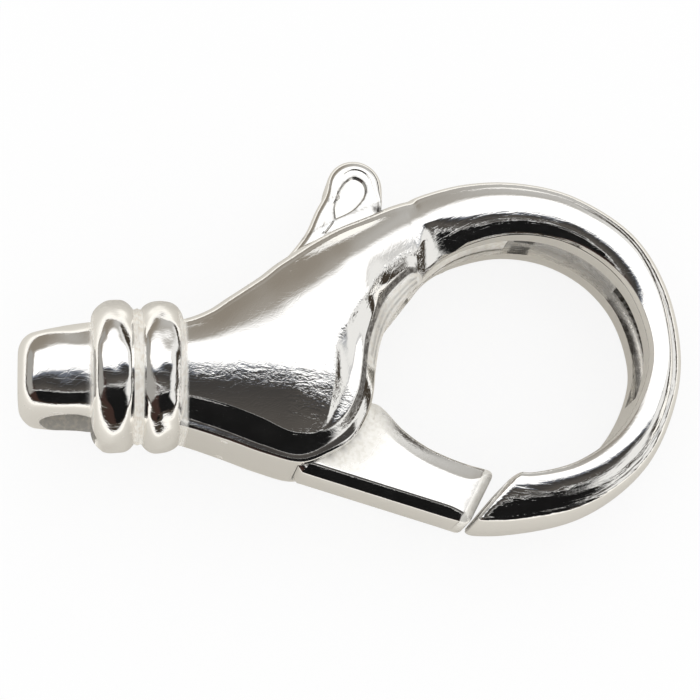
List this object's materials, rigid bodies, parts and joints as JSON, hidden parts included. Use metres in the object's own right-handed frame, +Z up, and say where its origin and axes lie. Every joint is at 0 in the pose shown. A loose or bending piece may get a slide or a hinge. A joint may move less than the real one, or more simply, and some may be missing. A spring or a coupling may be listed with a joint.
{
  "type": "lobster clasp",
  "caption": "Lobster clasp with a round hook, a spring-closed lever with a thumb tab, a double-ring collar and a bail with a cross hole.",
  "frame": {"origin": "middle of the clasp's outline, on the surface that it lies on", "axes": "+X from the bail to the far end of the hook, +Y from the gate to the thumb tab, +Z up from the surface that it lies on"},
  "size_m": [0.0298, 0.0172, 0.0069],
  "materials": {
    "silver_case": "polished silver with fine scratches and a little tarnish in the corners",
    "silver_lever": "polished silver with a frosted sunk panel",
    "pin": "drawn wire",
    "leaf": "satin spring strip"
  },
  "bodies": {
    "case": {"case": "silver_case", "pivot_pin": "pin", "leaf_spring": "leaf"},
    "lever": {"lever": "silver_lever"}
  },
  "joints": [
    {"name": "lever_swing", "type": "hinge", "parent": "case", "child": "lever", "pos_m": [-0.0028, -0.00358, 0.00309], "axis": [0.054, 0, 0.9985], "range_deg": [0, 20], "stiffness_Nm_per_rad": 0.06, "springref_deg": -14.32}
  ]
}
